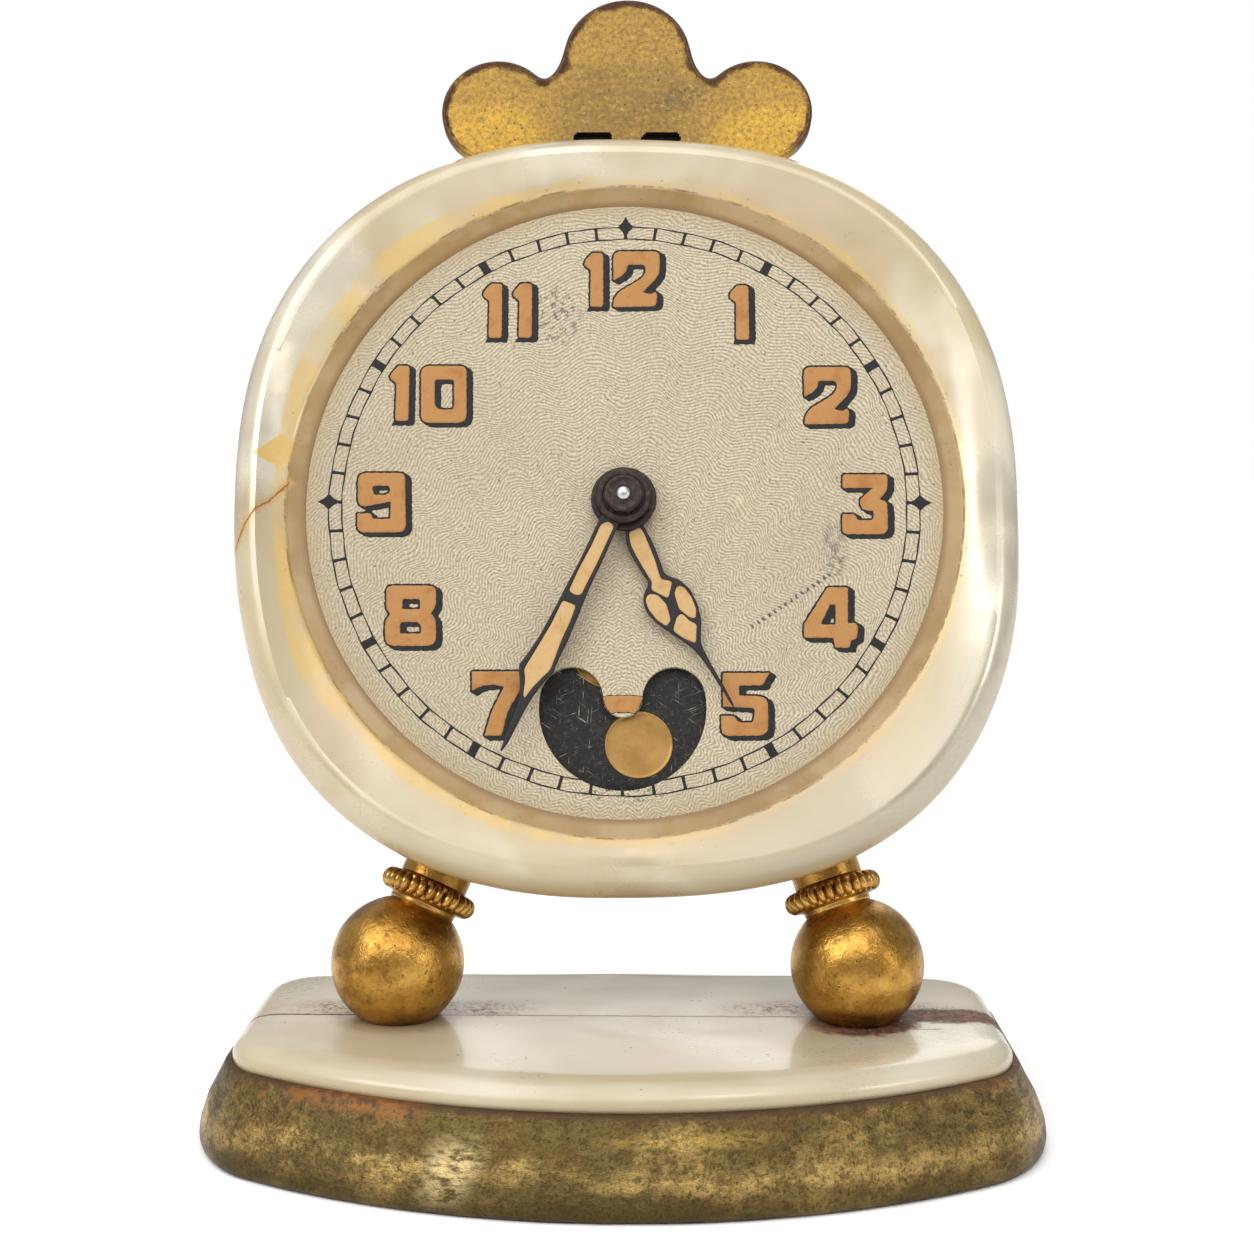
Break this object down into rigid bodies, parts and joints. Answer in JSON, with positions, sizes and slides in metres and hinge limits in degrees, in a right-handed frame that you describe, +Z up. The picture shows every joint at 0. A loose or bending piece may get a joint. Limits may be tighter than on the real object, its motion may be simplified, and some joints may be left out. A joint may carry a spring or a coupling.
{
  "type": "moon phase desk clock",
  "caption": "Small desk clock with a cushion-shaped pearl bezel, a moon aperture and a trefoil crest, leaning back on two ball feet over a bow-fronted base.",
  "frame": {"origin": "underside of the plinth, midway between the two ball feet", "axes": "+Z up, +X to the right of someone facing the dial, -Y towards the viewer"},
  "size_m": [0.0722, 0.052, 0.0996],
  "materials": {
    "cast_brass": "aged cast brass",
    "gilt_brass": "worn gilding",
    "sheet_brass": "matt gilt sheet",
    "movement_brass": "machined",
    "pearl": "polished mother-of-pearl",
    "dial_silver": "silvered and engine-turned",
    "moon_black": "matt black lacquer",
    "moon_gold": "satin gilt",
    "hand_black": "black with luminous fill",
    "steel": "bright steel",
    "blued_steel": "blued",
    "felt": "felt"
  },
  "bodies": {
    "case": {"plinth": "cast_brass", "base_pad": "felt", "pearl_slab_front": "pearl", "pearl_slab_rear": "pearl", "foot_screws": "steel", "ball_foot_left": "gilt_brass", "ball_foot_right": "gilt_brass", "neck_left": "gilt_brass", "neck_right": "gilt_brass", "bead_collar_left": "gilt_brass", "bead_collar_right": "gilt_brass", "neck_nuts": "gilt_brass", "pearl_bezel": "pearl", "front_plate": "sheet_brass", "drum_case": "sheet_brass", "back_cover": "sheet_brass", "case_screws": "steel", "back_screws": "steel", "dial": "dial_silver", "day_post": "steel", "moon_post": "steel", "main_plate": "movement_brass", "rear_plate": "movement_brass", "plate_pillars": "movement_brass", "plate_screws": "steel", "hairspring": "blued_steel", "balance_cock": "movement_brass", "click_spring": "blued_steel", "movement_screws": "steel"},
    "minute_work": {"minute_hand": "hand_black", "cannon_pinion": "hand_black"},
    "hour_work": {"hour_hand": "hand_black", "hour_wheel": "movement_brass"},
    "setting_work": {"minute_wheel": "movement_brass", "set_knob": "gilt_brass"},
    "day_work": {"day_wheel": "movement_brass"},
    "moon_work": {"moon_disc": "moon_black", "moon_inlays": "moon_gold"},
    "jumper": {"moon_jumper": "blued_steel"},
    "centre_work": {"centre_wheel": "steel"},
    "third_work": {"third_wheel": "movement_brass"},
    "fourth_work": {"fourth_wheel": "movement_brass"},
    "escape_work": {"escape_wheel": "steel"},
    "barrel_work": {"barrel": "movement_brass", "barrel_cover": "movement_brass", "mainspring": "blued_steel"},
    "winding_work": {"barrel_arbor": "steel", "ratchet_wheel": "steel", "winding_key": "gilt_brass"},
    "lever_work": {"pallet_lever": "steel"},
    "balance_work": {"balance_wheel": "movement_brass"},
    "regulator": {"regulator_index": "steel"},
    "click_work": {"click": "steel"}
  },
  "joints": [
    {"name": "minute_hand_turn", "type": "hinge", "parent": "case", "child": "minute_work", "pos_m": [0, 0.004, 0.0538], "axis": [0, -0.9483, 0.3173], "continuous": true},
    {"name": "hour_hand_turn", "type": "hinge", "parent": "case", "child": "hour_work", "pos_m": [0, 0.004, 0.0538], "axis": [0, -0.9483, 0.3173], "continuous": true},
    {"name": "setting_knob_turn", "type": "hinge", "parent": "case", "child": "setting_work", "pos_m": [0.00522, 0.01063, 0.0484], "axis": [0, -0.9483, 0.3173], "continuous": true},
    {"name": "day_wheel_turn", "type": "hinge", "parent": "case", "child": "day_work", "pos_m": [-0.00247, 0.00346, 0.04682], "axis": [0, -0.9483, 0.3173], "continuous": true},
    {"name": "moon_disc_turn", "type": "hinge", "parent": "case", "child": "moon_work", "pos_m": [0, -0.00056, 0.03735], "axis": [0, -0.9483, 0.3173], "continuous": true},
    {"name": "moon_jumper_flex", "type": "hinge", "parent": "case", "child": "jumper", "pos_m": [0.01257, -0.0007, 0.03661], "axis": [0, -0.9483, 0.3173], "range_deg": [-2.5, 0], "stiffness_Nm_per_rad": 0.001},
    {"name": "fourth_wheel_turn", "type": "hinge", "parent": "case", "child": "fourth_work", "pos_m": [0.00218, 0.01405, 0.05862], "axis": [0, -0.9483, 0.3173], "continuous": true},
    {"name": "third_wheel_turn", "type": "hinge", "parent": "case", "child": "third_work", "pos_m": [0.00474, 0.01264, 0.05441], "axis": [0, -0.9483, 0.3173], "continuous": true},
    {"name": "centre_wheel_turn", "type": "hinge", "parent": "case", "child": "centre_work", "pos_m": [0, 0.01159, 0.05126], "axis": [0, -0.9483, 0.3173], "continuous": true},
    {"name": "barrel_turn", "type": "hinge", "parent": "case", "child": "barrel_work", "pos_m": [-0.00897, 0.00959, 0.0453], "axis": [0, -0.9483, 0.3173], "continuous": true},
    {"name": "escape_wheel_turn", "type": "hinge", "parent": "case", "child": "escape_work", "pos_m": [-0.00269, 0.01405, 0.05862], "axis": [0, -0.9483, 0.3173], "continuous": true},
    {"name": "pallet_lever_rock", "type": "hinge", "parent": "case", "child": "lever_work", "pos_m": [-0.00592, 0.01432, 0.05944], "axis": [0, -0.9483, 0.3173], "range_deg": [-4, 4]},
    {"name": "balance_swing", "type": "hinge", "parent": "case", "child": "balance_work", "pos_m": [-0.01229, 0.01487, 0.06106], "axis": [0, -0.9483, 0.3173], "range_deg": [-270, 270], "stiffness_Nm_per_rad": 0.000004},
    {"name": "winding_key_turn", "type": "hinge", "parent": "case", "child": "winding_work", "pos_m": [-0.00897, 0.02097, 0.0415], "axis": [0, -0.9483, 0.3173], "range_deg": [-1800, 0]},
    {"name": "regulator_turn", "type": "hinge", "parent": "case", "child": "regulator", "pos_m": [-0.01229, 0.01866, 0.05979], "axis": [0, -0.9483, 0.3173], "range_deg": [-25, 25]},
    {"name": "click_lift", "type": "hinge", "parent": "case", "child": "click_work", "pos_m": [-0.00422, 0.01212, 0.04026], "axis": [0, -0.9483, 0.3173], "range_deg": [0, 12], "stiffness_Nm_per_rad": 0.0001}
  ],
  "couplings": [
    {"joint": "setting_knob_turn", "follows": "minute_hand_turn", "ratio": -0.33333},
    {"joint": "hour_hand_turn", "follows": "minute_hand_turn", "ratio": 0.083333},
    {"joint": "day_wheel_turn", "follows": "minute_hand_turn", "ratio": -0.041667},
    {"joint": "moon_disc_turn", "follows": "minute_hand_turn", "ratio": 0.00070621},
    {"joint": "third_wheel_turn", "follows": "fourth_wheel_turn", "ratio": -0.13333},
    {"joint": "centre_wheel_turn", "follows": "fourth_wheel_turn", "ratio": 0.016667},
    {"joint": "barrel_turn", "follows": "fourth_wheel_turn", "ratio": -0.0027778},
    {"joint": "escape_wheel_turn", "follows": "fourth_wheel_turn", "ratio": -10}
  ]
}
